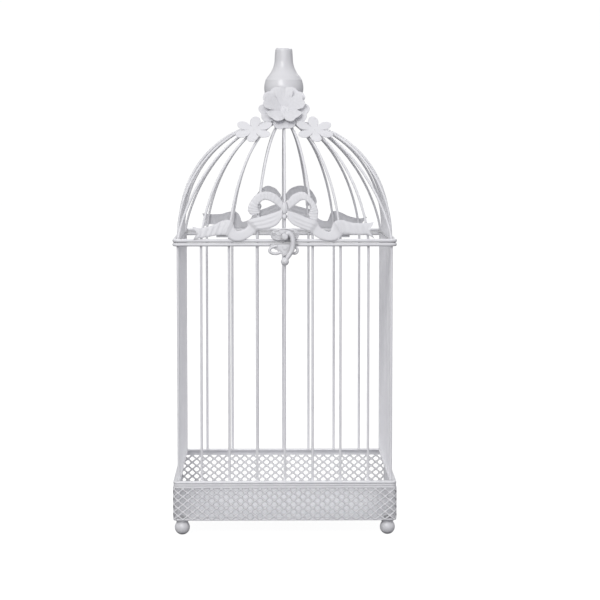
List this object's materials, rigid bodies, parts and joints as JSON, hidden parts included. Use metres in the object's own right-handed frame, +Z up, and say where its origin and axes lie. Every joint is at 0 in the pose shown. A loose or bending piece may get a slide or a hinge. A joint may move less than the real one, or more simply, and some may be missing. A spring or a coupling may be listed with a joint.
{
  "type": "birdcage card box",
  "caption": "Square wire birdcage card box with a lattice tray on ball feet, a hinged domed lid with a turned finial, stamped flowers and bows, and a swinging front hook.",
  "frame": {"origin": "on the surface that the feet stand on, under the middle of the tray", "axes": "+Z up along the cage, -Y towards the front with the clasp, +X to the right seen from the front"},
  "size_m": [0.23, 0.245, 0.5039],
  "materials": {
    "white_powder_coat": "smooth semi-gloss white paint on steel wire and sheet",
    "white_stamping": "semi-gloss white paint on embossed sheet metal",
    "zinc_hardware": "zinc-plated steel"
  },
  "bodies": {
    "cage": {"floor_plate": "white_powder_coat", "lattice_front": "white_powder_coat", "lattice_back": "white_powder_coat", "lattice_left": "white_powder_coat", "lattice_right": "white_powder_coat", "lattice_corners": "white_powder_coat", "tray_top_rim": "white_powder_coat", "tray_bottom_rim": "white_powder_coat", "foot_front_left": "white_powder_coat", "foot_front_right": "white_powder_coat", "foot_back_left": "white_powder_coat", "foot_back_right": "white_powder_coat", "foot_screws": "zinc_hardware", "corner_wires": "white_powder_coat", "wall_wires_front": "white_powder_coat", "wall_wires_back": "white_powder_coat", "wall_wires_left": "white_powder_coat", "wall_wires_right": "white_powder_coat", "cage_rail": "white_powder_coat", "cage_clasp_plate": "white_powder_coat", "catch_button": "white_powder_coat", "cage_hinge_leaves": "white_powder_coat", "hinge_pins": "zinc_hardware"},
    "lid": {"lid_rail": "white_powder_coat", "dome_wires_front": "white_powder_coat", "dome_wires_back": "white_powder_coat", "dome_wires_left": "white_powder_coat", "dome_wires_right": "white_powder_coat", "dome_corner_wires": "white_powder_coat", "crown_cap": "white_powder_coat", "finial": "white_powder_coat", "finial_stud": "zinc_hardware", "finial_nut": "zinc_hardware", "large_flower_rear": "white_stamping", "large_flower_front": "white_stamping", "large_flower_rivet": "white_stamping", "small_flower_left": "white_stamping", "small_flower_right": "white_stamping", "front_bow_knot": "white_stamping", "front_bow_loop_left": "white_stamping", "front_bow_loop_right": "white_stamping", "front_bow_tail_left": "white_stamping", "front_bow_tail_right": "white_stamping", "back_bow_knot": "white_stamping", "back_bow_loop_left": "white_stamping", "back_bow_loop_right": "white_stamping", "back_bow_tail_left": "white_stamping", "back_bow_tail_right": "white_stamping", "lid_clasp_plate": "white_powder_coat", "clasp_rivets": "white_powder_coat", "pivot_stud": "white_powder_coat", "lid_hinge_leaves": "white_powder_coat"},
    "hook": {"latch_hook": "white_powder_coat"}
  },
  "joints": [
    {"name": "lid_hinge", "type": "hinge", "parent": "cage", "child": "lid", "pos_m": [0, 0.11802, 0.3019], "axis": [-1, 0, 0], "range_deg": [0, 110]},
    {"name": "hook_swing", "type": "hinge", "parent": "lid", "child": "hook", "pos_m": [0, -0.1193, 0.3083], "axis": [0, -1, 0], "range_deg": [-60, 60]}
  ]
}
